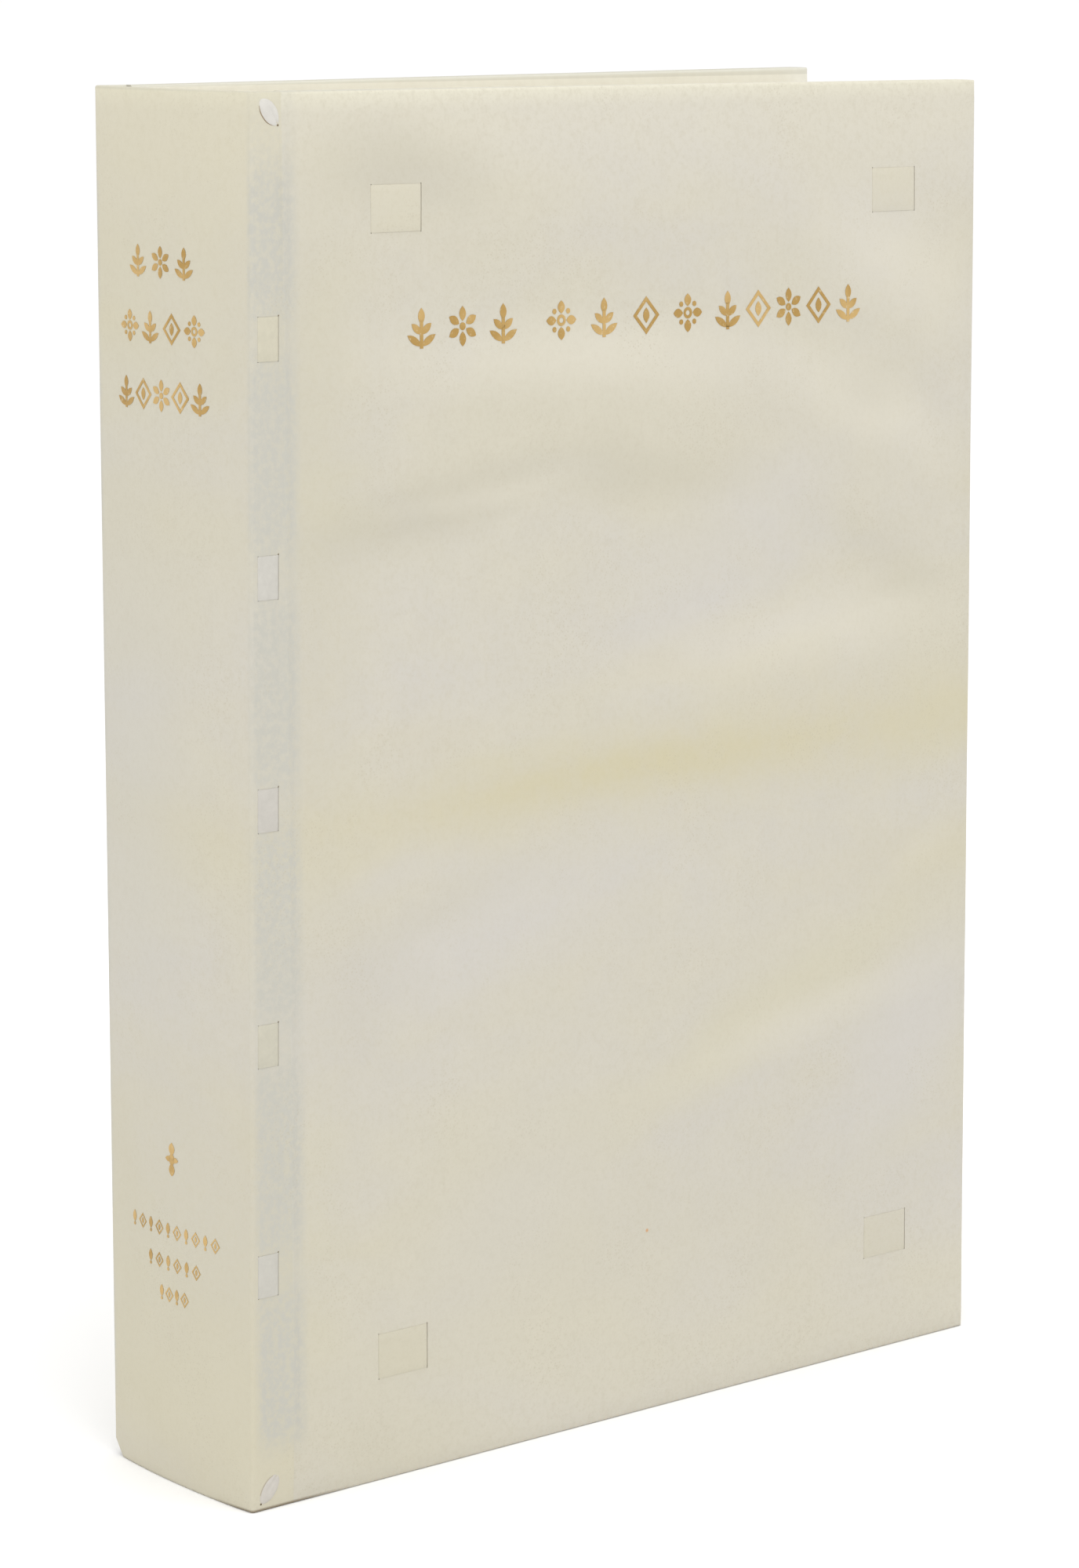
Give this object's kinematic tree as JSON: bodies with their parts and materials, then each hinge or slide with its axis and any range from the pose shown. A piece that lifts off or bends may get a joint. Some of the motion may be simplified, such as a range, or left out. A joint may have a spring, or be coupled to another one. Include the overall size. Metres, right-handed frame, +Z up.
{
  "type": "bible",
  "caption": "Large folio bible in a laced vellum case with exposed sewing slips and corner strips; covers and leaves open on upright hinges.",
  "frame": {"origin": "bottom centre of the book's bounding box, where the standing book's tail meets the table", "axes": "+Z up from tail to head, +X from spine to fore-edge, -Y out of the front cover, +Y out of the back cover"},
  "size_m": [0.295, 0.0756, 0.413],
  "materials": {
    "spine_cover": "satin vellum",
    "spine_lining_1": "matt",
    "spine_lining_2": "matt",
    "spine_lining_3": "matt",
    "spine_lining_4": "matt",
    "spine_lining_5": "matt",
    "spine_lining_6": "matt",
    "sewing_slip_1": "matt alum-tawed skin",
    "sewing_slip_2": "matt alum-tawed skin",
    "sewing_slip_3": "matt alum-tawed skin",
    "sewing_slip_4": "matt alum-tawed skin",
    "sewing_slip_5": "matt alum-tawed skin",
    "head_endband": "matt alum-tawed skin",
    "tail_endband": "matt alum-tawed skin",
    "sewn_folds": "matt handmade paper",
    "front_cover": "satin vellum",
    "front_board": "matt",
    "front_pastedown": "matt handmade paper",
    "front_corner_strip_1": "satin vellum",
    "front_corner_strip_2": "satin vellum",
    "front_corner_strip_3": "satin vellum",
    "front_corner_strip_4": "satin vellum",
    "front_flyleaf": "matt handmade paper",
    "gathering_01": "matt handmade paper",
    "gathering_02": "matt handmade paper",
    "gathering_03": "matt handmade paper",
    "gathering_04": "matt handmade paper",
    "gathering_05": "matt handmade paper",
    "gathering_06": "matt handmade paper",
    "gathering_07": "matt handmade paper",
    "gathering_08": "matt handmade paper",
    "back_cover": "satin vellum",
    "back_board": "matt",
    "back_pastedown": "matt handmade paper",
    "back_corner_strip_1": "satin vellum",
    "back_corner_strip_2": "satin vellum",
    "back_corner_strip_3": "satin vellum",
    "back_corner_strip_4": "satin vellum",
    "back_flyleaf": "matt handmade paper",
    "gathering_16": "matt handmade paper",
    "gathering_15": "matt handmade paper",
    "gathering_14": "matt handmade paper",
    "gathering_13": "matt handmade paper",
    "gathering_12": "matt handmade paper",
    "gathering_11": "matt handmade paper",
    "gathering_10": "matt handmade paper",
    "gathering_09": "matt handmade paper"
  },
  "bodies": {
    "spine": {"spine_cover": "spine_cover", "spine_lining_1": "spine_lining_1", "spine_lining_2": "spine_lining_2", "spine_lining_3": "spine_lining_3", "spine_lining_4": "spine_lining_4", "spine_lining_5": "spine_lining_5", "spine_lining_6": "spine_lining_6", "sewing_slip_1": "sewing_slip_1", "sewing_slip_2": "sewing_slip_2", "sewing_slip_3": "sewing_slip_3", "sewing_slip_4": "sewing_slip_4", "sewing_slip_5": "sewing_slip_5", "head_endband": "head_endband", "tail_endband": "tail_endband", "sewn_folds": "sewn_folds"},
    "front_cover": {"front_cover": "front_cover", "front_board": "front_board", "front_pastedown": "front_pastedown", "front_corner_strip_1": "front_corner_strip_1", "front_corner_strip_2": "front_corner_strip_2", "front_corner_strip_3": "front_corner_strip_3", "front_corner_strip_4": "front_corner_strip_4"},
    "front_flyleaf": {"front_flyleaf": "front_flyleaf"},
    "gathering_01": {"gathering_01": "gathering_01"},
    "gathering_02": {"gathering_02": "gathering_02"},
    "gathering_03": {"gathering_03": "gathering_03"},
    "gathering_04": {"gathering_04": "gathering_04"},
    "gathering_05": {"gathering_05": "gathering_05"},
    "gathering_06": {"gathering_06": "gathering_06"},
    "gathering_07": {"gathering_07": "gathering_07"},
    "gathering_08": {"gathering_08": "gathering_08"},
    "back_cover": {"back_cover": "back_cover", "back_board": "back_board", "back_pastedown": "back_pastedown", "back_corner_strip_1": "back_corner_strip_1", "back_corner_strip_2": "back_corner_strip_2", "back_corner_strip_3": "back_corner_strip_3", "back_corner_strip_4": "back_corner_strip_4"},
    "back_flyleaf": {"back_flyleaf": "back_flyleaf"},
    "gathering_16": {"gathering_16": "gathering_16"},
    "gathering_15": {"gathering_15": "gathering_15"},
    "gathering_14": {"gathering_14": "gathering_14"},
    "gathering_13": {"gathering_13": "gathering_13"},
    "gathering_12": {"gathering_12": "gathering_12"},
    "gathering_11": {"gathering_11": "gathering_11"},
    "gathering_10": {"gathering_10": "gathering_10"},
    "gathering_09": {"gathering_09": "gathering_09"}
  },
  "joints": [
    {"name": "front_leaves_open", "type": "hinge", "parent": "spine", "child": "gathering_01", "pos_m": [-0.1345, -0.0377, 0.2065], "axis": [0, 0, -1], "range_deg": [0, 75]},
    {"name": "gathering_02_open", "type": "hinge", "parent": "spine", "child": "gathering_02", "pos_m": [-0.12463, -0.02783, 0.2065], "axis": [0, 0, -1], "range_deg": [0, 75]},
    {"name": "gathering_03_open", "type": "hinge", "parent": "spine", "child": "gathering_03", "pos_m": [-0.12066, -0.02386, 0.2065], "axis": [0, 0, -1], "range_deg": [0, 75]},
    {"name": "gathering_04_open", "type": "hinge", "parent": "spine", "child": "gathering_04", "pos_m": [-0.11669, -0.01989, 0.2065], "axis": [0, 0, -1], "range_deg": [0, 75]},
    {"name": "gathering_05_open", "type": "hinge", "parent": "spine", "child": "gathering_05", "pos_m": [-0.11272, -0.01592, 0.2065], "axis": [0, 0, -1], "range_deg": [0, 75]},
    {"name": "gathering_06_open", "type": "hinge", "parent": "spine", "child": "gathering_06", "pos_m": [-0.10875, -0.01195, 0.2065], "axis": [0, 0, -1], "range_deg": [0, 75]},
    {"name": "gathering_07_open", "type": "hinge", "parent": "spine", "child": "gathering_07", "pos_m": [-0.10478, -0.00798, 0.2065], "axis": [0, 0, -1], "range_deg": [0, 75]},
    {"name": "gathering_08_open", "type": "hinge", "parent": "spine", "child": "gathering_08", "pos_m": [-0.10081, -0.00401, 0.2065], "axis": [0, 0, -1], "range_deg": [0, 75]},
    {"name": "front_cover_hinge", "type": "hinge", "parent": "gathering_01", "child": "front_cover", "pos_m": [-0.1345, -0.0377, 0.2065], "axis": [0, 0, -1], "range_deg": [0, 105]},
    {"name": "front_flyleaf_turn", "type": "hinge", "parent": "gathering_01", "child": "front_flyleaf", "pos_m": [-0.1345, -0.0377, 0.2065], "axis": [0, 0, -1], "range_deg": [0, 52.5]},
    {"name": "back_leaves_open", "type": "hinge", "parent": "spine", "child": "gathering_16", "pos_m": [-0.1345, 0.0377, 0.2065], "axis": [0, 0, 1], "range_deg": [0, 75]},
    {"name": "gathering_15_open", "type": "hinge", "parent": "spine", "child": "gathering_15", "pos_m": [-0.12463, 0.02783, 0.2065], "axis": [0, 0, 1], "range_deg": [0, 75]},
    {"name": "gathering_14_open", "type": "hinge", "parent": "spine", "child": "gathering_14", "pos_m": [-0.12066, 0.02386, 0.2065], "axis": [0, 0, 1], "range_deg": [0, 75]},
    {"name": "gathering_13_open", "type": "hinge", "parent": "spine", "child": "gathering_13", "pos_m": [-0.11669, 0.01989, 0.2065], "axis": [0, 0, 1], "range_deg": [0, 75]},
    {"name": "gathering_12_open", "type": "hinge", "parent": "spine", "child": "gathering_12", "pos_m": [-0.11272, 0.01592, 0.2065], "axis": [0, 0, 1], "range_deg": [0, 75]},
    {"name": "gathering_11_open", "type": "hinge", "parent": "spine", "child": "gathering_11", "pos_m": [-0.10875, 0.01195, 0.2065], "axis": [0, 0, 1], "range_deg": [0, 75]},
    {"name": "gathering_10_open", "type": "hinge", "parent": "spine", "child": "gathering_10", "pos_m": [-0.10478, 0.00798, 0.2065], "axis": [0, 0, 1], "range_deg": [0, 75]},
    {"name": "gathering_09_open", "type": "hinge", "parent": "spine", "child": "gathering_09", "pos_m": [-0.10081, 0.00401, 0.2065], "axis": [0, 0, 1], "range_deg": [0, 75]},
    {"name": "back_cover_hinge", "type": "hinge", "parent": "gathering_16", "child": "back_cover", "pos_m": [-0.1345, 0.0377, 0.2065], "axis": [0, 0, 1], "range_deg": [0, 105]},
    {"name": "back_flyleaf_turn", "type": "hinge", "parent": "gathering_16", "child": "back_flyleaf", "pos_m": [-0.1345, 0.0377, 0.2065], "axis": [0, 0, 1], "range_deg": [0, 52.5]}
  ],
  "couplings": [
    {"joint": "gathering_02_open", "follows": "front_leaves_open", "ratio": 1},
    {"joint": "gathering_03_open", "follows": "front_leaves_open", "ratio": 1},
    {"joint": "gathering_04_open", "follows": "front_leaves_open", "ratio": 1},
    {"joint": "gathering_05_open", "follows": "front_leaves_open", "ratio": 1},
    {"joint": "gathering_06_open", "follows": "front_leaves_open", "ratio": 1},
    {"joint": "gathering_07_open", "follows": "front_leaves_open", "ratio": 1},
    {"joint": "gathering_08_open", "follows": "front_leaves_open", "ratio": 1},
    {"joint": "front_flyleaf_turn", "follows": "front_cover_hinge", "ratio": 0.5},
    {"joint": "gathering_15_open", "follows": "back_leaves_open", "ratio": 1},
    {"joint": "gathering_14_open", "follows": "back_leaves_open", "ratio": 1},
    {"joint": "gathering_13_open", "follows": "back_leaves_open", "ratio": 1},
    {"joint": "gathering_12_open", "follows": "back_leaves_open", "ratio": 1},
    {"joint": "gathering_11_open", "follows": "back_leaves_open", "ratio": 1},
    {"joint": "gathering_10_open", "follows": "back_leaves_open", "ratio": 1},
    {"joint": "gathering_09_open", "follows": "back_leaves_open", "ratio": 1},
    {"joint": "back_flyleaf_turn", "follows": "back_cover_hinge", "ratio": 0.5}
  ]
}
